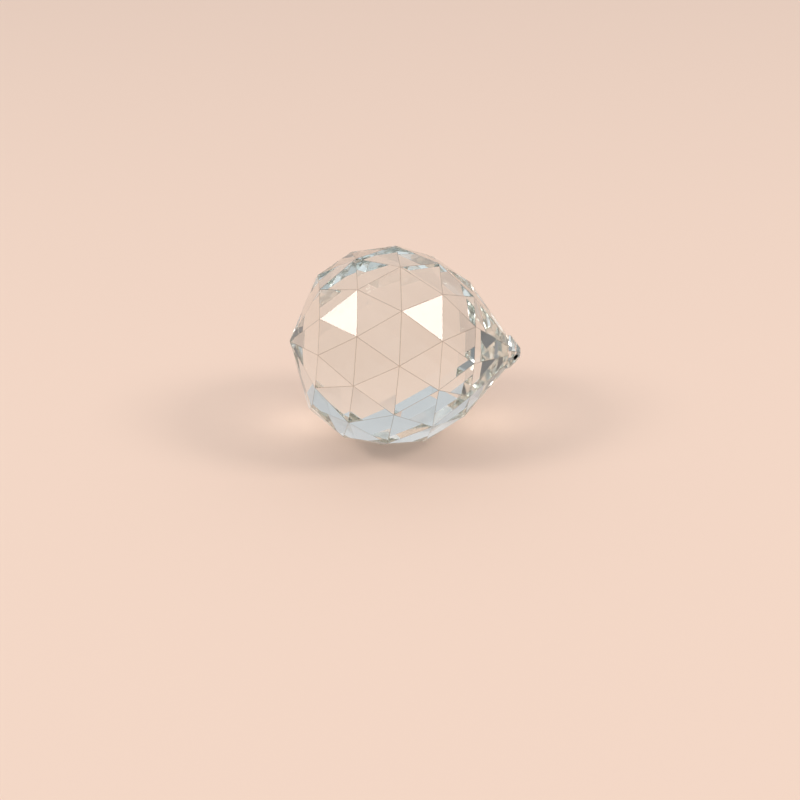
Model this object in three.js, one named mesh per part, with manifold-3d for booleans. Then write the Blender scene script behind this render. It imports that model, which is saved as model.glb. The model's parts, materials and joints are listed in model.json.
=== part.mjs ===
// A clear crystal ball, cut all over in flat triangular facets, that hangs in a window to throw
// rainbows. It is one solid piece of glass: the ball, the long facets that draw it out to a neck,
// and the blunt six-sided knob on that neck, with the bore for its hanging thread.
// Millimetres and degrees, +Z up. The ball lies on one of its own facets, its knob towards +X.
// The origin is the bottom centre of its box.

import * as THREE from "three";
import { mergeVertices } from "three/addons/utils/BufferGeometryUtils.js";
import Module from "manifold-3d";

// The ball. The corners of its triangles lie on a sphere, on rings square to the long axis. Only
// the ring nearest the knob, where the long facets start, stands a little proud of it.
const BALL_RADIUS = 25;
const LAST_RING_REACH = 1.02 * BALL_RADIUS;
const FACETS_ROUND = 12;
const RING_SPACING = 24; // latitude from one ring to the next
const RINGS_EACH_SIDE = 2; // rings on each side of the widest one
const BLIND_POINT = 0.978 * BALL_RADIUS; // ball's centre to the point away from the knob
const LONG_FACET_SLOPE = 1.25; // radius the long facets lose for each millimetre towards the knob

// The knob, measured along the axis from the ball's centre.
const KNOB_SIDES = 6;
const KNOB_RADIUS = 0.186 * BALL_RADIUS; // to its corners
const KNOB_SHOULDER = 1.2 * BALL_RADIUS;
const KNOB_TIP = 1.31 * BALL_RADIUS;
const TIP_RADIUS = 0.055 * BALL_RADIUS;

// The bore for the thread goes straight across, through two faces of the knob.
const BORE_RADIUS = 0.65;
const BORE_PLACE = 1.255 * BALL_RADIUS;
const BORE_SEGMENTS = 24;

const { Manifold, Mesh: SolidMesh } = await loadSolids();

async function loadSolids() {
  const library = await Module();
  library.setup();
  return library;
}

// A ring of corners round the X axis. The first corner is straight down, or half a step on.
function ring(sides, x, radius, halfStep) {
  const corners = [];
  for (let k = 0; k < sides; k++) {
    const turn = (2 * Math.PI * (k + (halfStep ? 0.5 : 0))) / sides;
    corners.push(new THREE.Vector3(x, radius * Math.sin(turn), -radius * Math.cos(turn)));
  }
  return { corners, halfStep };
}

// The triangles between two rings, each on a base in one ring with its tip in the other.
function band(near, far) {
  const triangles = [];
  const sides = near.corners.length;
  const farShift = far.halfStep && !near.halfStep ? 0 : 1;
  for (let k = 0; k < sides; k++) {
    const next = (k + 1) % sides;
    const farTip = far.corners[(k + farShift) % sides];
    const nearTip = near.corners[(k + 1 - farShift) % sides];
    triangles.push([near.corners[k], near.corners[next], farTip]);
    triangles.push([far.corners[next], far.corners[k], nearTip]);
  }
  return triangles;
}

// A closed body: a fan from its first point, a band between each two rings, a fan to its last.
function facetedBody(firstPoint, rings, lastPoint) {
  const triangles = [];
  const first = rings[0].corners;
  const last = rings[rings.length - 1].corners;
  first.forEach((corner, k) => {
    triangles.push([first[(k + 1) % first.length], corner, firstPoint]);
  });
  for (let i = 1; i < rings.length; i++) {
    triangles.push(...band(rings[i - 1], rings[i]));
  }
  last.forEach((corner, k) => {
    triangles.push([corner, last[(k + 1) % last.length], lastPoint]);
  });
  return new THREE.BufferGeometry().setFromPoints(triangles.flat());
}

// The ring of the ball's corners at one step of latitude. Every second ring is turned half a step.
function ballRing(step) {
  const latitude = THREE.MathUtils.degToRad(step * RING_SPACING);
  const reach = step === RINGS_EACH_SIDE ? LAST_RING_REACH : BALL_RADIUS;
  return ring(FACETS_ROUND, reach * Math.sin(latitude), reach * Math.cos(latitude), step % 2 === 0);
}

// The ball and its long facets, cut off square inside the knob.
function ballGeometry() {
  const rings = [];
  for (let step = -RINGS_EACH_SIDE; step <= RINGS_EACH_SIDE; step++) {
    rings.push(ballRing(step));
  }
  const lastRing = rings[rings.length - 1];
  const start = lastRing.corners[0];
  const startRadius = Math.hypot(start.y, start.z);
  const endRadius = startRadius - LONG_FACET_SLOPE * (KNOB_SHOULDER - start.x);
  rings.push(ring(FACETS_ROUND, KNOB_SHOULDER, endRadius, lastRing.halfStep));
  const blindPoint = new THREE.Vector3(-BLIND_POINT, 0, 0);
  const coneEnd = new THREE.Vector3(KNOB_SHOULDER, 0, 0);
  return facetedBody(blindPoint, rings, coneEnd);
}

// The knob: a straight neck that starts inside the ball, and a blunt pyramid.
function knobGeometry() {
  const root = ring(KNOB_SIDES, BALL_RADIUS, KNOB_RADIUS, false);
  const shoulder = ring(KNOB_SIDES, KNOB_SHOULDER, KNOB_RADIUS, false);
  const tip = ring(KNOB_SIDES, KNOB_TIP, TIP_RADIUS, false);
  const rootCentre = new THREE.Vector3(BALL_RADIUS, 0, 0);
  const tipCentre = new THREE.Vector3(KNOB_TIP, 0, 0);
  return facetedBody(rootCentre, [root, shoulder, tip], tipCentre);
}

// A cylinder along Y, long enough to pass both faces of the knob.
function boreGeometry() {
  const geometry = new THREE.CylinderGeometry(BORE_RADIUS, BORE_RADIUS, 4 * KNOB_RADIUS, BORE_SEGMENTS);
  return geometry.translate(BORE_PLACE, 0, 0);
}

function toSolid(geometry) {
  geometry.deleteAttribute("normal");
  geometry.deleteAttribute("uv");
  const merged = mergeVertices(geometry);
  const vertProperties = new Float32Array(merged.attributes.position.array);
  const triVerts = new Uint32Array(merged.index.array);
  return new Manifold(new SolidMesh({ numProp: 3, vertProperties, triVerts }));
}

function toGeometry(solid) {
  const mesh = solid.getMesh();
  const geometry = new THREE.BufferGeometry();
  geometry.setAttribute("position", new THREE.BufferAttribute(mesh.vertProperties, 3));
  geometry.setIndex(new THREE.BufferAttribute(mesh.triVerts, 1));
  geometry.computeVertexNormals();
  return geometry;
}

// How far the axis dips for the facet below the widest ring, on the knob's side, to face down.
function restingDip() {
  const [left] = ballRing(0).corners.slice(-1);
  const [right] = ballRing(0).corners;
  const [tip] = ballRing(1).corners;
  const facing = new THREE.Triangle(left, right, tip).getNormal(new THREE.Vector3());
  return Math.atan2(facing.x, -facing.z);
}

function crystalBall() {
  const solid = toSolid(ballGeometry()).add(toSolid(knobGeometry())).subtract(toSolid(boreGeometry()));
  const material = new THREE.MeshStandardMaterial({
    name: "crystal",
    color: 0xeaf2f1,
    roughness: 0.02,
    metalness: 0,
    transparent: true,
    opacity: 0.35,
    flatShading: true,
  });
  const mesh = new THREE.Mesh(toGeometry(solid), material);
  mesh.name = "crystal_ball";
  mesh.rotation.y = restingDip();
  const box = new THREE.Box3().setFromObject(mesh, true);
  mesh.position.set(-(box.min.x + box.max.x) / 2, 0, -box.min.z);
  return mesh;
}

const suncatcher = new THREE.Group();
suncatcher.name = "suncatcher";
suncatcher.add(crystalBall());

export default suncatcher;
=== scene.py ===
import json
import math

import bmesh
import bpy
from mathutils import Matrix, Vector

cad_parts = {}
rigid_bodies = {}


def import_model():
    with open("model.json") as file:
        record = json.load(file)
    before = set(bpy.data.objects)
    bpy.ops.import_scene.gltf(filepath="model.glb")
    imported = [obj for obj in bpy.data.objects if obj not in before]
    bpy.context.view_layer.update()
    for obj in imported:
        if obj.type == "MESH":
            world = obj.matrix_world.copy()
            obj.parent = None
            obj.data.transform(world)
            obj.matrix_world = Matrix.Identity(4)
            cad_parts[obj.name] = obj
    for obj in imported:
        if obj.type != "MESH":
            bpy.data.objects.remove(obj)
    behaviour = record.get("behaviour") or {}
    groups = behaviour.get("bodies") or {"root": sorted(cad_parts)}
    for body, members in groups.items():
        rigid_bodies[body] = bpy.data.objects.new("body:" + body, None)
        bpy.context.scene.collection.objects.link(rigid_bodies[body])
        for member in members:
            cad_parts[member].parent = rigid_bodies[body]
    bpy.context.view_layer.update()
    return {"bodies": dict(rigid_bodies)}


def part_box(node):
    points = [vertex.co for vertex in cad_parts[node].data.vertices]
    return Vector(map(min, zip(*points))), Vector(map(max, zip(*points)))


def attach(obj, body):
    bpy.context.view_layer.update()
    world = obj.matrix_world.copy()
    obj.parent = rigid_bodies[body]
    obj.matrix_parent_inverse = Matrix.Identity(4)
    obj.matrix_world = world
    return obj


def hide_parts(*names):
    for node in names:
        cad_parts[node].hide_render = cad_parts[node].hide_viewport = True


bl_info = {
    "name": "Crystal Suncatcher Looks",
    "version": (1, 0, 0),
    "blender": (4, 5, 0),
    "location": "3D View > Sidebar > Suncatcher",
    "description": "Cuts, polishes and lights a faceted crystal ball with a drilled knob",
    "category": "Object",
}

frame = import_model()

CAD_NODE = "crystal_ball"
BODY = next(iter(frame["bodies"]))
BALL_LOW, BALL_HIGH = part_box(CAD_NODE)
FIT_TOLERANCE = 0.00003  # how far the cut ball's box may be from the solid's, metres

# Fixed details of the cut, in metres, radians or plain ratios.
KNOB_SIDES = 6
BORE_SIDES = 48
CORNER_POINT_RADIUS = 0.0001  # points only mark corners, so this size never shows
DRILL_LENGTH = 4.0  # in knob radii, long enough to pass both sides
WALL_REACH = 1.01  # how far from the bore's axis its wall may lie, in bore radii
WALL_NORMAL_LIMIT = 0.02  # the wall's normals have no part along the bore
SMALLEST_GROUND_BEND = math.radians(5)  # flatter edges get no land
BESIDE_WALL_LIMIT = 0.25  # an edge with more of the wall mark than this borders the wall
SHORTEST_LAND = 0.0006
LAND_SEGMENTS = 2

# Fixed details of the finishes.
HAZE_FROM, HAZE_TO = 0.5, 0.7  # the span of the noise over which haze sets in
BORE_GRAIN_SCALE = 6000.0
BORE_DARK_SHARE = 0.7  # the darker grains, as a share of the bore's colour
BORE_ROUGHNESS = 0.8
BORE_PIT_STRENGTH = 0.3
BORE_PIT_DEPTH = 0.00002
FLOOR_ROUGHNESS = 0.8
FLOOR_SPECULAR = 0.2

# The stage. A softbox's direction is its azimuth and elevation in degrees.
FLOOR_SIZE = 6.0
FLOOR_GAP = 0.00005  # keeps the floor's face off the ball's
BALL_CENTRE_PLACE = 0.97  # blind end of the box to the ball's centre, in ball radii
CEILING_FROM, CEILING_TO = 0.35, 0.75  # upward part of the direction over which the ceiling sets in
SOFTBOXES = (("softbox_left", -83, 43), ("softbox_right", 69, 42))
SOFTBOX_DISTANCE = 0.9
WARM_WHITE = (1.0, 0.97, 0.93)
SENSOR_WIDTH = 36
CAMERA_SHIFT = (0.0143, -0.0673)
LIGHT_BOUNCES = 24


# ---------------------------------------------------------------------------------------------
# What a user would change


class CrystalCut(bpy.types.PropertyGroup):
    """The measures of the cut ball and its knob."""

    ball_radius: bpy.props.FloatProperty(
        name="Ball radius", description="From the ball's centre to the corners of its facets",
        default=0.025, min=0.005, max=0.1, unit="LENGTH")
    facets_round: bpy.props.IntProperty(
        name="Facets round", description="Corners on each ring of the ball", default=12, min=6, max=24)
    rings_each_side: bpy.props.IntProperty(
        name="Rings each side", description="Rings of corners on each side of the widest one",
        default=2, min=1, max=4)
    ring_spacing: bpy.props.FloatProperty(
        name="Ring spacing", description="Latitude from one ring of corners to the next",
        default=math.radians(24), min=0.1, max=0.8, subtype="ANGLE", unit="ROTATION")
    last_ring_reach: bpy.props.FloatProperty(
        name="Last ring reach", description="How proud the ring at the long facets stands, in ball radii",
        default=1.02, min=1.0, max=1.1, subtype="FACTOR")
    blind_point: bpy.props.FloatProperty(
        name="Blind point", description="Centre to the point away from the knob, in ball radii",
        default=0.978, min=0.9, max=1.0, subtype="FACTOR")
    cone_slope: bpy.props.FloatProperty(
        name="Long facet slope", description="Radius the long facets lose for each unit along the axis",
        default=1.25, min=0.5, max=3.0)
    knob_radius: bpy.props.FloatProperty(
        name="Knob radius", description="Axis to the corners of the knob, in ball radii",
        default=0.186, min=0.05, max=0.4, subtype="FACTOR")
    knob_shoulder: bpy.props.FloatProperty(
        name="Knob shoulder", description="Ball's centre to where the knob starts to taper, in ball radii",
        default=1.2, min=1.0, max=1.5, subtype="FACTOR")
    knob_tip: bpy.props.FloatProperty(
        name="Knob tip", description="Ball's centre to the end of the knob, in ball radii",
        default=1.31, min=1.0, max=1.8, subtype="FACTOR")
    tip_radius: bpy.props.FloatProperty(
        name="Tip radius", description="Axis to the corners of the flat end, in ball radii",
        default=0.055, min=0.01, max=0.2, subtype="FACTOR")
    bore_radius: bpy.props.FloatProperty(
        name="Bore radius", description="Radius of the bore for the thread",
        default=0.00065, min=0.0002, max=0.003, unit="LENGTH")
    bore_place: bpy.props.FloatProperty(
        name="Bore place", description="Ball's centre to the bore, in ball radii",
        default=1.255, min=1.0, max=1.6, subtype="FACTOR")
    edge_width: bpy.props.FloatProperty(
        name="Edge width", description="Width of the ground land along each edge",
        default=0.00016, min=0.0, max=0.001, unit="LENGTH")


class CrystalFinish(bpy.types.PropertyGroup):
    """The clear glass, its ground edges (painted a dark brown on their outer side as painted shade) and
    the wall of its bore (painted near black as painted shade where the open mouth shows it).
    """

    glass_colour: bpy.props.FloatVectorProperty(
        name="Glass colour", description="Tint of the clear glass",
        default=(0.985, 0.995, 0.99), min=0.0, max=1.0, size=3, subtype="COLOR")
    glass_ior: bpy.props.FloatProperty(
        name="Refractive index", description="How strongly the glass bends light",
        default=1.52, min=1.0, max=2.0)
    depth_colour: bpy.props.FloatVectorProperty(
        name="Depth colour", description="Colour that long paths through the glass take on",
        default=(0.80, 0.85, 0.81), min=0.0, max=1.0, size=3, subtype="COLOR")
    depth_density: bpy.props.FloatProperty(
        name="Depth density", description="How soon the depth colour shows, per metre",
        default=8.0, min=0.0, max=200.0)
    # Painted shade: the edge colour is a dark brown laid on the outer side of each ground land, standing
    # in for the dark line that refraction draws along the edges.
    edge_shade_colour: bpy.props.FloatVectorProperty(
        name="Edge colour", description="Tint of the ground land along the edges",
        default=(0.46, 0.39, 0.33), min=0.0, max=1.0, size=3, subtype="COLOR")
    edge_roughness: bpy.props.FloatProperty(
        name="Edge roughness", description="How matt the land along the edges is",
        default=0.05, min=0.0, max=1.0)
    haze_roughness: bpy.props.FloatProperty(
        name="Haze roughness", description="Roughness where handling has left a faint haze",
        default=0.07, min=0.0, max=0.5)
    haze_scale: bpy.props.FloatProperty(
        name="Haze scale", description="Patches of haze in a metre", default=90.0, min=1.0, max=1000.0)
    bore_colour: bpy.props.FloatVectorProperty(
        name="Bore colour", description="Colour of the ground wall, seen through the glass",
        default=(0.78, 0.80, 0.76), min=0.0, max=1.0, size=3, subtype="COLOR")
    # Painted shade: the mouth colour is a near black painted on the bore's wall where it is seen from the
    # air, standing in for the shade deep in the hole.
    mouth_shade_colour: bpy.props.FloatVectorProperty(
        name="Mouth colour", description="Colour of the wall where the open bore shows it",
        default=(0.02, 0.018, 0.015), min=0.0, max=1.0, size=3, subtype="COLOR")


class StudioLook(bpy.types.PropertyGroup):
    """The floor, the lights and the camera."""

    floor_colour: bpy.props.FloatVectorProperty(
        name="Floor colour", description="Colour of the plain pale floor",
        default=(0.90, 0.66, 0.53), min=0.0, max=1.0, size=3, subtype="COLOR")
    studio_colour: bpy.props.FloatVectorProperty(
        name="Studio colour", description="Colour of the white studio round the floor",
        default=(0.90, 0.95, 1.0), min=0.0, max=1.0, size=3, subtype="COLOR")
    studio_behind: bpy.props.FloatProperty(
        name="Studio behind", description="Brightness of the studio behind the ball",
        default=0.66, min=0.0, max=5.0)
    studio_in_front: bpy.props.FloatProperty(
        name="Studio in front", description="Brightness of the studio behind the camera",
        default=0.12, min=0.0, max=5.0)
    studio_overhead: bpy.props.FloatProperty(
        name="Studio overhead", description="Brightness of the studio ceiling",
        default=0.95, min=0.0, max=5.0)
    softbox_brightness: bpy.props.FloatProperty(
        name="Softbox brightness", description="Brightness of the two softboxes",
        default=10.0, min=0.0, max=200.0)
    softbox_size: bpy.props.FloatProperty(
        name="Softbox size", description="Side of each softbox",
        default=0.24, min=0.05, max=1.0, unit="LENGTH")
    camera_distance: bpy.props.FloatProperty(
        name="Camera distance", description="Camera to the ball's centre",
        default=0.5, min=0.2, max=5.0, unit="LENGTH")
    camera_azimuth: bpy.props.FloatProperty(
        name="Camera azimuth", description="Camera's turn round the ball from straight in front",
        default=math.radians(-3.6), subtype="ANGLE", unit="ROTATION")
    camera_elevation: bpy.props.FloatProperty(
        name="Camera elevation", description="Camera's height above the horizon",
        default=math.radians(26), subtype="ANGLE", unit="ROTATION")
    camera_roll: bpy.props.FloatProperty(
        name="Camera roll", description="Camera's roll about its own line of sight",
        default=math.radians(2.1), subtype="ANGLE", unit="ROTATION")
    camera_lens: bpy.props.FloatProperty(
        name="Lens", description="Focal length on a 36 mm sensor", default=91.4, min=20, max=300,
        unit="CAMERA")


# ---------------------------------------------------------------------------------------------
# Geometry Nodes: the cut ball


class Tree:
    """A node tree that is built a line at a time, each new node one column on."""

    def __init__(self, tree):
        self.tree = tree
        self.count = 0

    def node(self, kind, inputs=None, **settings):
        made = self.tree.nodes.new(kind)
        made.location = (180 * (self.count % 12), -220 * (self.count // 12))
        self.count += 1
        for name, value in settings.items():
            setattr(made, name, value)
        for key, value in (inputs or {}).items():
            self.feed(made.inputs[key], value)
        return made

    def feed(self, socket, value):
        if isinstance(value, bpy.types.NodeSocket):
            self.tree.links.new(value, socket)
        else:
            socket.default_value = value

    def math(self, operation, a, b=0.0):
        return self.node("ShaderNodeMath", {0: a, 1: b}, operation=operation).outputs[0]

    def vector(self, x, y, z):
        return self.node("ShaderNodeCombineXYZ", {0: x, 1: y, 2: z}).outputs[0]

    def mixed_colour(self, factor, first, second):
        return self.node("ShaderNodeMix", {0: factor, 6: first, 7: second}, data_type="RGBA").outputs[2]


def new_geometry_tree(name, inputs):
    """A geometry tree with named inputs, (name, socket kind, default), and one geometry output."""
    group = bpy.data.node_groups.new(name, "GeometryNodeTree")
    for label, kind, default in inputs:
        socket = group.interface.new_socket(name=label, in_out="INPUT", socket_type=kind)
        if default is not None:
            socket.default_value = default
    group.interface.new_socket(name="Geometry", in_out="OUTPUT", socket_type="NodeSocketGeometry")
    return group


def socket_identifier(group, label):
    for item in group.interface.items_tree:
        if item.item_type == "SOCKET" and item.in_out == "INPUT" and item.name == label:
            return item.identifier
    raise RuntimeError(f"{group.name} has no input named {label}")


def corner_cloud(t, count, corners_round, x, radius, half_step):
    """Points on rings round the X axis; x, radius and half_step may be fields."""
    index = t.node("GeometryNodeInputIndex").outputs[0]
    along = t.math("MODULO", index, corners_round)
    turn = t.math("DIVIDE", t.math("MULTIPLY", t.math("ADD", along, half_step), math.tau), corners_round)
    place = t.vector(
        x,
        t.math("MULTIPLY", radius, t.math("SINE", turn)),
        t.math("MULTIPLY", t.math("MULTIPLY", radius, t.math("COSINE", turn)), -1.0),
    )
    return t.node("GeometryNodePoints", {
        "Count": count, "Position": place, "Radius": CORNER_POINT_RADIUS}).outputs[0]


def ball_corner_tree():
    """The cut ball as a rule: rings of corners, every second one turned half a step, under a hull."""
    measures = [
        ("Ball Radius", "NodeSocketFloat", 0.025),
        ("Facets Round", "NodeSocketInt", 12),
        ("Rings Each Side", "NodeSocketInt", 2),
        ("Ring Spacing", "NodeSocketFloat", math.radians(24)),
        ("Last Ring Reach", "NodeSocketFloat", 1.02),
        ("Blind Point", "NodeSocketFloat", 0.978),
        ("Cone Slope", "NodeSocketFloat", 1.25),
        ("Knob Radius", "NodeSocketFloat", 0.186),
        ("Knob Shoulder", "NodeSocketFloat", 1.2),
        ("Knob Tip", "NodeSocketFloat", 1.31),
        ("Tip Radius", "NodeSocketFloat", 0.055),
        ("Bore Radius", "NodeSocketFloat", 0.00065),
        ("Bore Place", "NodeSocketFloat", 1.255),
        ("Shortest Land", "NodeSocketFloat", SHORTEST_LAND),
        ("Dip", "NodeSocketFloat", 0.0),
        ("Glass", "NodeSocketMaterial", None),
    ]
    group = new_geometry_tree("cut_crystal_ball", measures)
    t = Tree(group)
    given = t.node("NodeGroupInput").outputs
    ball_radius = given["Ball Radius"]
    sides = given["Facets Round"]
    steps = given["Rings Each Side"]

    # The ball's rings of corners.
    ring_count = t.math("ADD", t.math("MULTIPLY", steps, 2.0), 1.0)
    index = t.node("GeometryNodeInputIndex").outputs[0]
    ring_number = t.math("FLOOR", t.math("DIVIDE", t.math("ADD", index, 0.5), sides))
    step = t.math("SUBTRACT", ring_number, steps)
    latitude = t.math("MULTIPLY", step, given["Ring Spacing"])
    is_last = t.math("COMPARE", step, steps)
    reach = t.math("MULTIPLY", ball_radius, t.math(
        "ADD", 1.0, t.math("MULTIPLY", is_last, t.math("SUBTRACT", given["Last Ring Reach"], 1.0))))
    odd = t.math("MODULO", t.math("ABSOLUTE", step), 2.0)
    half_step = t.math("MULTIPLY", t.math("SUBTRACT", 1.0, odd), 0.5)
    ball_corners = corner_cloud(
        t, t.math("MULTIPLY", ring_count, sides), sides,
        t.math("MULTIPLY", reach, t.math("SINE", latitude)),
        t.math("MULTIPLY", reach, t.math("COSINE", latitude)), half_step)

    # Where the long facets end, inside the knob.
    last_latitude = t.math("MULTIPLY", steps, given["Ring Spacing"])
    last_reach = t.math("MULTIPLY", ball_radius, given["Last Ring Reach"])
    start_x = t.math("MULTIPLY", last_reach, t.math("SINE", last_latitude))
    start_radius = t.math("MULTIPLY", last_reach, t.math("COSINE", last_latitude))
    end_x = t.math("MULTIPLY", ball_radius, given["Knob Shoulder"])
    end_radius = t.math("SUBTRACT", start_radius, t.math(
        "MULTIPLY", given["Cone Slope"], t.math("SUBTRACT", end_x, start_x)))
    last_odd = t.math("MODULO", steps, 2.0)
    last_half = t.math("MULTIPLY", t.math("SUBTRACT", 1.0, last_odd), 0.5)
    cone_corners = corner_cloud(t, sides, sides, end_x, end_radius, last_half)

    blind_x = t.math("MULTIPLY", t.math("MULTIPLY", ball_radius, given["Blind Point"]), -1.0)
    blind = t.node("GeometryNodePoints", {
        "Count": 1, "Radius": CORNER_POINT_RADIUS, "Position": t.vector(blind_x, 0.0, 0.0)}).outputs[0]
    all_corners = t.node("GeometryNodeJoinGeometry")
    for cloud in (ball_corners, cone_corners, blind):
        group.links.new(cloud, all_corners.inputs[0])
    ball_hull = t.node("GeometryNodeConvexHull", {0: all_corners.outputs[0]}).outputs[0]

    # The knob: a straight six-sided neck and a blunt pyramid.
    knob_radius = t.math("MULTIPLY", ball_radius, given["Knob Radius"])
    tip_radius = t.math("MULTIPLY", ball_radius, given["Tip Radius"])
    knob_parts = t.node("GeometryNodeJoinGeometry")
    knob_rings = (
        (1.0, knob_radius), (given["Knob Shoulder"], knob_radius), (given["Knob Tip"], tip_radius))
    for x_ratio, radius in knob_rings:
        x = t.math("MULTIPLY", ball_radius, x_ratio)
        cloud = corner_cloud(t, KNOB_SIDES, float(KNOB_SIDES), x, radius, 0.0)
        group.links.new(cloud, knob_parts.inputs[0])
    knob_hull = t.node("GeometryNodeConvexHull", {0: knob_parts.outputs[0]}).outputs[0]

    # The bore, straight across.
    drill = t.node("GeometryNodeMeshCylinder", {
        "Vertices": BORE_SIDES, "Radius": given["Bore Radius"],
        "Depth": t.math("MULTIPLY", knob_radius, DRILL_LENGTH)})
    bore_x = t.math("MULTIPLY", ball_radius, given["Bore Place"])
    turned_drill = t.node("GeometryNodeTransform", {
        "Geometry": drill.outputs["Mesh"], "Translation": t.vector(bore_x, 0.0, 0.0),
        "Rotation": (math.pi / 2, 0.0, 0.0)}).outputs[0]

    joined = t.node("GeometryNodeMeshBoolean", operation="UNION", solver="EXACT")
    group.links.new(ball_hull, joined.inputs["Mesh 2"])
    group.links.new(knob_hull, joined.inputs["Mesh 2"])
    drilled = t.node("GeometryNodeMeshBoolean", operation="DIFFERENCE", solver="EXACT")
    group.links.new(joined.outputs[0], drilled.inputs["Mesh 1"])
    group.links.new(turned_drill, drilled.inputs["Mesh 2"])

    # The bore's wall is ground, not polished, and is marked for the material.
    place = t.node("ShaderNodeSeparateXYZ", {0: t.node("GeometryNodeInputPosition").outputs[0]}).outputs
    from_bore = t.vector(t.math("SUBTRACT", place[0], bore_x), 0.0, place[2])
    bore_distance = t.node("ShaderNodeVectorMath", {0: from_bore}, operation="LENGTH").outputs["Value"]
    near_bore = t.math("LESS_THAN", bore_distance, t.math("MULTIPLY", given["Bore Radius"], WALL_REACH))
    facing = t.node("ShaderNodeSeparateXYZ", {0: t.node("GeometryNodeInputNormal").outputs[0]}).outputs
    square_to_bore = t.math("LESS_THAN", t.math("ABSOLUTE", facing[1]), WALL_NORMAL_LIMIT)
    on_wall = t.math("MULTIPLY", near_bore, square_to_bore)
    marked = t.node("GeometryNodeStoreNamedAttribute", {
        "Geometry": drilled.outputs[0], "Name": "ground_wall", "Value": on_wall},
        data_type="FLOAT", domain="FACE").outputs[0]

    # Every edge between two facets gets its land; the bore and the short edges round the neck don't.
    ends = t.node("GeometryNodeInputMeshEdgeVertices").outputs
    edge_length = t.node(
        "ShaderNodeVectorMath", {0: ends["Position 1"], 1: ends["Position 2"]},
        operation="DISTANCE").outputs["Value"]
    bend = t.node("GeometryNodeInputMeshEdgeAngle").outputs["Unsigned Angle"]
    beside_wall = t.node(
        "GeometryNodeInputNamedAttribute", {"Name": "ground_wall"}, data_type="FLOAT").outputs["Attribute"]
    bent = t.math("GREATER_THAN", bend, SMALLEST_GROUND_BEND)
    long_enough = t.math("GREATER_THAN", edge_length, given["Shortest Land"])
    clear_of_wall = t.math("LESS_THAN", beside_wall, BESIDE_WALL_LIMIT)
    has_land = t.math("MULTIPLY", bent, t.math("MULTIPLY", long_enough, clear_of_wall))
    edged = t.node("GeometryNodeStoreNamedAttribute", {
        "Geometry": marked, "Name": "has_land", "Value": has_land},
        data_type="FLOAT", domain="EDGE").outputs[0]

    dipped = t.node("GeometryNodeTransform", {
        "Geometry": edged, "Rotation": t.vector(0.0, given["Dip"], 0.0)}).outputs[0]
    flat = t.node("GeometryNodeSetShadeSmooth", {"Geometry": dipped, "Shade Smooth": False}).outputs[0]
    real = t.node("GeometryNodeRealizeInstances", {"Geometry": flat}).outputs[0]
    glazed = t.node("GeometryNodeSetMaterial", {"Geometry": real, "Material": given["Glass"]}).outputs[0]
    group.links.new(glazed, t.node("NodeGroupOutput").inputs[0])
    return group


def resting_dip(cut):
    """How far the axis dips for the facet below the widest ring, on the knob's side, to lie flat."""
    half = math.pi / cut.facets_round
    latitude = cut.ring_spacing
    radius = cut.ball_radius
    left = Vector((0, -radius * math.sin(half), -radius * math.cos(half)))
    right = Vector((0, radius * math.sin(half), -radius * math.cos(half)))
    tip = Vector((radius * math.sin(latitude), 0, -radius * math.cos(latitude)))
    facing = (right - left).cross(tip - left)
    if facing.z > 0:
        facing.negate()
    return math.atan2(facing.x, -facing.z)


def baked_mesh(obj):
    """The object's evaluated geometry as a plain mesh."""
    bpy.context.view_layer.update()
    evaluated = obj.evaluated_get(bpy.context.evaluated_depsgraph_get())
    return bpy.data.meshes.new_from_object(evaluated)


def mesh_box(mesh):
    low = Vector(tuple(min(v.co[i] for v in mesh.vertices) for i in range(3)))
    high = Vector(tuple(max(v.co[i] for v in mesh.vertices) for i in range(3)))
    return low, high


def line_bore(mesh, material):
    """Gives the bore's round wall its own ground finish."""
    mesh.materials.append(material)
    wall = mesh.attributes["ground_wall"].data
    for face in mesh.polygons:
        if wall[face.index].value > 0.5:
            face.material_index = 1
            face.use_smooth = True


def grind_edges(mesh, width):
    """Takes the sharpness off every marked edge and marks the narrow faces that this leaves."""
    work = bmesh.new()
    work.from_mesh(mesh)
    land = work.faces.layers.float.new("edge_land")
    weights = work.edges.layers.float["has_land"]
    marked = [edge for edge in work.edges if edge[weights] > 0.5]
    ground = bmesh.ops.bevel(
        work, geom=marked, affect="EDGES", offset=width, offset_type="WIDTH", segments=LAND_SEGMENTS,
        profile=0.5, clamp_overlap=False, material=-1)
    for face in ground["faces"]:
        face[land] = 1.0
    for face in work.faces:
        face.smooth = False
    work.to_mesh(mesh)
    work.free()


def link(obj):
    bpy.context.scene.collection.objects.link(obj)
    return obj


# ---------------------------------------------------------------------------------------------
# Materials


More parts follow.
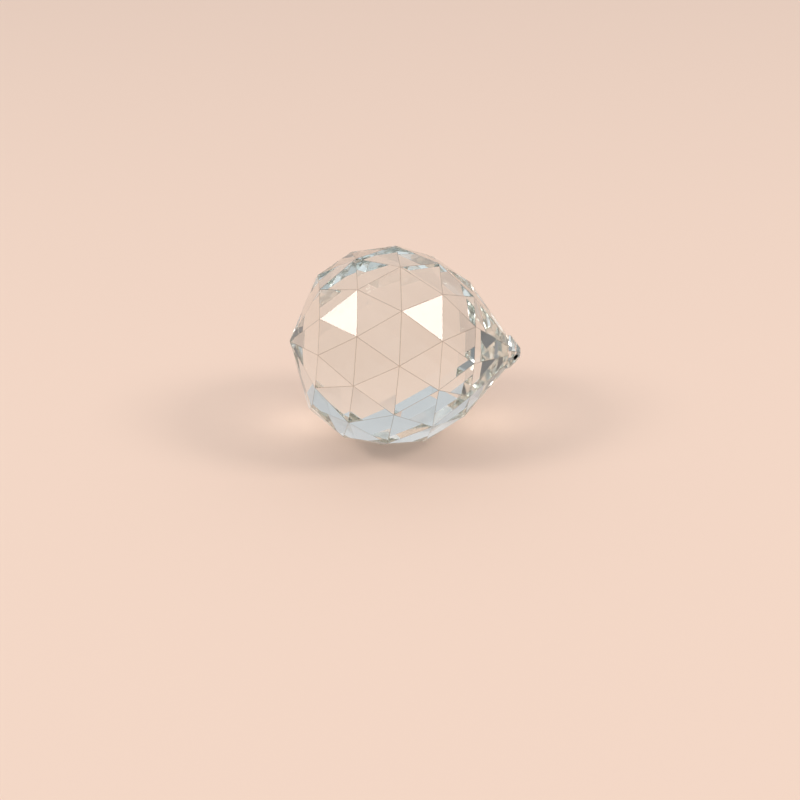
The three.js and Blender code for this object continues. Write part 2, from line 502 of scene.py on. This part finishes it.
def crystal_material(finish):
    """Clear cut glass: polished flats with a faint haze, and a fine ground land along each edge whose
    outer side is painted dark brown, a painted shade line standing in for the dark line refraction draws
    along each edge.
    """
    material = bpy.data.materials.new("clear_crystal")
    material.use_nodes = True
    nodes, links = material.node_tree.nodes, material.node_tree.links
    shader = nodes["Principled BSDF"]
    shader.inputs["Transmission Weight"].default_value = 1.0
    shader.inputs["IOR"].default_value = finish.glass_ior
    shader.inputs["Metallic"].default_value = 0.0
    t = Tree(material.node_tree)
    land = t.node("ShaderNodeAttribute", attribute_name="edge_land").outputs["Fac"]
    # Painted shade: only where the land is seen from outside does it take the dark edge colour, which
    # draws a dark line along each edge.
    outside = t.math("SUBTRACT", 1.0, t.node("ShaderNodeNewGeometry").outputs["Backfacing"])
    tint_and_edge_shade = t.mixed_colour(
        t.math("MULTIPLY", land, outside), (*finish.glass_colour, 1.0), (*finish.edge_shade_colour, 1.0))
    links.new(tint_and_edge_shade, shader.inputs["Base Color"])
    place = t.node("ShaderNodeTexCoord").outputs["Object"]
    patches = t.node("ShaderNodeTexNoise", {
        "Vector": place, "Scale": finish.haze_scale, "Detail": 4.0}).outputs["Fac"]
    haze = t.node("ShaderNodeMapRange", {
        "Value": patches, "From Min": HAZE_FROM, "From Max": HAZE_TO,
        "To Min": 0.0, "To Max": finish.haze_roughness}).outputs[0]
    land_roughness = t.math("MULTIPLY", land, finish.edge_roughness)
    links.new(t.math("MAXIMUM", haze, land_roughness), shader.inputs["Roughness"])
    depth = t.node("ShaderNodeVolumeAbsorption", {
        "Color": (*finish.depth_colour, 1.0), "Density": finish.depth_density})
    links.new(depth.outputs[0], nodes["Material Output"].inputs["Volume"])
    return material


def bore_material(finish):
    """The drilled wall: ground, pale where the glass shows it, and painted near black as painted shade
    where the open mouth shows it.
    """
    material = bpy.data.materials.new("ground_bore")
    material.use_nodes = True
    nodes, links = material.node_tree.nodes, material.node_tree.links
    shader = nodes["Principled BSDF"]
    shader.inputs["Roughness"].default_value = BORE_ROUGHNESS
    shader.inputs["Metallic"].default_value = 0.0
    t = Tree(material.node_tree)
    place = t.node("ShaderNodeTexCoord").outputs["Object"]
    grain = t.node("ShaderNodeTexNoise", {
        "Vector": place, "Scale": BORE_GRAIN_SCALE, "Detail": 3.0}).outputs["Fac"]
    darker = [BORE_DARK_SHARE * channel for channel in finish.bore_colour]
    ground = t.mixed_colour(grain, (*finish.bore_colour, 1.0), (*darker, 1.0))
    # Painted shade: wall faces seen from the air, through the open mouth, take the near-black mouth
    # colour; faces seen through the glass keep the pale ground colour.
    behind_glass = t.node("ShaderNodeNewGeometry").outputs["Backfacing"]
    links.new(
        t.mixed_colour(behind_glass, (*finish.mouth_shade_colour, 1.0), ground), shader.inputs["Base Color"])
    pits = t.node("ShaderNodeBump", {
        "Strength": BORE_PIT_STRENGTH, "Distance": BORE_PIT_DEPTH, "Height": grain}).outputs[0]
    links.new(pits, shader.inputs["Normal"])
    return material


def floor_material(look):
    """A plain matt floor in one pale colour."""
    material = bpy.data.materials.new("pale_floor")
    material.use_nodes = True
    shader = material.node_tree.nodes["Principled BSDF"]
    shader.inputs["Base Color"].default_value = (*look.floor_colour, 1.0)
    shader.inputs["Roughness"].default_value = FLOOR_ROUGHNESS
    shader.inputs["Specular IOR Level"].default_value = FLOOR_SPECULAR
    return material


# ---------------------------------------------------------------------------------------------
# The operators


class SUNCATCHER_OT_crystal_ball(bpy.types.Operator):
    """Cuts the crystal ball with its knob and bore, and puts it in the place of the plain solid"""

    bl_idname = "suncatcher.crystal_ball"
    bl_label = "Cut the crystal ball"

    def execute(self, context):
        cut = context.scene.crystal_cut
        glass = crystal_material(context.scene.crystal_finish)
        group = ball_corner_tree()
        blank = link(bpy.data.objects.new("ball_blank", bpy.data.meshes.new("ball_blank")))
        modifier = blank.modifiers.new("cut", "NODES")
        modifier.node_group = group
        values = {
            "Ball Radius": cut.ball_radius, "Facets Round": cut.facets_round,
            "Rings Each Side": cut.rings_each_side, "Ring Spacing": cut.ring_spacing,
            "Last Ring Reach": cut.last_ring_reach, "Blind Point": cut.blind_point,
            "Cone Slope": cut.cone_slope, "Knob Radius": cut.knob_radius,
            "Knob Shoulder": cut.knob_shoulder, "Knob Tip": cut.knob_tip,
            "Tip Radius": cut.tip_radius, "Bore Radius": cut.bore_radius,
            "Bore Place": cut.bore_place, "Dip": resting_dip(cut), "Glass": glass,
        }
        for label, value in values.items():
            modifier[socket_identifier(group, label)] = value
        mesh = baked_mesh(blank)
        bpy.data.objects.remove(blank)
        if not mesh.polygons:
            raise RuntimeError("the cut gave no faces")
        low, high = mesh_box(mesh)
        shift = Vector(((BALL_LOW.x + BALL_HIGH.x - low.x - high.x) / 2, 0, BALL_LOW.z - low.z))
        mesh.transform(Matrix.Translation(shift))
        low, high = mesh_box(mesh)
        off = max(max(abs(a) for a in low - BALL_LOW), max(abs(a) for a in high - BALL_HIGH))
        print("cut ball against the solid, mm:", round(off * 1000, 4), "faces", len(mesh.polygons))
        if off > FIT_TOLERANCE:
            raise RuntimeError(f"the cut ball is {off * 1000:.3f} mm off the solid")
        mesh.materials.clear()
        mesh.materials.append(glass)
        for face in mesh.polygons:
            face.material_index = 0
        grind_edges(mesh, cut.edge_width)
        line_bore(mesh, bore_material(context.scene.crystal_finish))
        ball = link(bpy.data.objects.new("crystal_ball_cut", mesh))
        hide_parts(CAD_NODE)
        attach(ball, BODY)
        return {"FINISHED"}


def stage_sheet(name, size, height, material):
    mesh = bpy.data.meshes.new(name)
    h = size / 2
    corners = [(-h, -h, height), (h, -h, height), (h, h, height), (-h, h, height)]
    mesh.from_pydata(corners, [], [(0, 1, 2, 3)])
    mesh.materials.append(material)
    sheet = link(bpy.data.objects.new(name, mesh))


def softbox(name, centre, azimuth, elevation, size, power):
    """A soft square lamp that faces the ball from azimuth and elevation, in degrees."""
    light = bpy.data.lights.new(name, "AREA")
    light.shape = "SQUARE"
    light.size = size
    light.color = WARM_WHITE
    light.energy = power
    lamp = link(bpy.data.objects.new(name, light))
    a, e = math.radians(azimuth), math.radians(elevation)
    towards = Vector((math.sin(a) * math.cos(e), -math.cos(a) * math.cos(e), math.sin(e)))
    lamp.location = centre + towards * SOFTBOX_DISTANCE
    lamp.rotation_mode = "QUATERNION"
    lamp.rotation_quaternion = towards.to_track_quat("Z", "Y")
    return lamp


class SUNCATCHER_OT_stage(bpy.types.Operator):
    """Lays the plain floor and sets the soft studio lights and the camera"""

    bl_idname = "suncatcher.stage"
    bl_label = "Set the stage"

    def execute(self, context):
        scene = context.scene
        look = scene.studio_look
        cut = scene.crystal_cut
        centre_x = BALL_LOW.x + cut.ball_radius * BALL_CENTRE_PLACE
        centre = Vector((centre_x, 0, (BALL_LOW.z + BALL_HIGH.z) / 2))
        stage_sheet("floor", FLOOR_SIZE, BALL_LOW.z - FLOOR_GAP, floor_material(look))

        world = bpy.data.worlds.new("studio")
        scene.world = world
        world.use_nodes = True
        background = world.node_tree.nodes["Background"]
        background.inputs["Color"].default_value = (*look.studio_colour, 1.0)
        t = Tree(world.node_tree)
        direction = t.node("ShaderNodeSeparateXYZ", {0: t.node("ShaderNodeTexCoord").outputs["Generated"]})
        walls = t.node("ShaderNodeMapRange", {
            "Value": direction.outputs[1], "From Min": -1.0, "From Max": 1.0,
            "To Min": look.studio_in_front, "To Max": look.studio_behind},
            interpolation_type="SMOOTHSTEP").outputs[0]
        ceiling = t.node("ShaderNodeMapRange", {
            "Value": direction.outputs[2], "From Min": CEILING_FROM, "From Max": CEILING_TO},
            interpolation_type="SMOOTHSTEP").outputs[0]
        brightness = t.node("ShaderNodeMix", {0: ceiling, 2: walls, 3: look.studio_overhead}).outputs[0]
        world.node_tree.links.new(brightness, background.inputs["Strength"])

        power = look.softbox_brightness * look.softbox_size ** 2 * math.pi
        for name, azimuth, elevation in SOFTBOXES:
            softbox(name, centre, azimuth, elevation, look.softbox_size, power)

        camera = link(bpy.data.objects.new("camera", bpy.data.cameras.new("camera")))
        a, e = look.camera_azimuth, look.camera_elevation
        back = Vector((math.sin(a) * math.cos(e), -math.cos(a) * math.cos(e), math.sin(e)))
        level = Vector((0, 0, 1)).cross(back).normalized()
        turn = Matrix((level, back.cross(level), back)).transposed().to_4x4()
        place = Matrix.Translation(centre + back * look.camera_distance)
        camera.matrix_world = place @ turn @ Matrix.Rotation(-look.camera_roll, 4, "Z")
        camera.data.sensor_width = SENSOR_WIDTH
        camera.data.lens = look.camera_lens
        camera.data.shift_x, camera.data.shift_y = CAMERA_SHIFT
        camera.data.clip_start = 0.01
        scene.camera = camera

        scene.view_settings.view_transform = "Standard"
        scene.cycles.max_bounces = LIGHT_BOUNCES
        scene.cycles.glossy_bounces = LIGHT_BOUNCES
        scene.cycles.transmission_bounces = LIGHT_BOUNCES
        return {"FINISHED"}


class SUNCATCHER_PT_panel(bpy.types.Panel):
    """Lists the makers and their measures"""

    bl_label = "Crystal Suncatcher"
    bl_space_type = "VIEW_3D"
    bl_region_type = "UI"
    bl_category = "Suncatcher"

    def draw(self, context):
        layout = self.layout
        scene = context.scene
        for group in (scene.crystal_cut, scene.crystal_finish, scene.studio_look):
            column = layout.column(align=True)
            for name in type(group).__annotations__:
                column.prop(group, name)
            layout.separator()
        layout.operator(SUNCATCHER_OT_crystal_ball.bl_idname)
        layout.operator(SUNCATCHER_OT_stage.bl_idname)


CLASSES = (
    CrystalCut, CrystalFinish, StudioLook,
    SUNCATCHER_OT_crystal_ball, SUNCATCHER_OT_stage, SUNCATCHER_PT_panel,
)


def register():
    for made in CLASSES:
        bpy.utils.register_class(made)
    bpy.types.Scene.crystal_cut = bpy.props.PointerProperty(type=CrystalCut)
    bpy.types.Scene.crystal_finish = bpy.props.PointerProperty(type=CrystalFinish)
    bpy.types.Scene.studio_look = bpy.props.PointerProperty(type=StudioLook)


def unregister():
    del bpy.types.Scene.studio_look
    del bpy.types.Scene.crystal_finish
    del bpy.types.Scene.crystal_cut
    for made in reversed(CLASSES):
        bpy.utils.unregister_class(made)


def main():
    register()
    bpy.ops.suncatcher.crystal_ball()
    bpy.ops.suncatcher.stage()


if __name__ == "__main__":
    main()
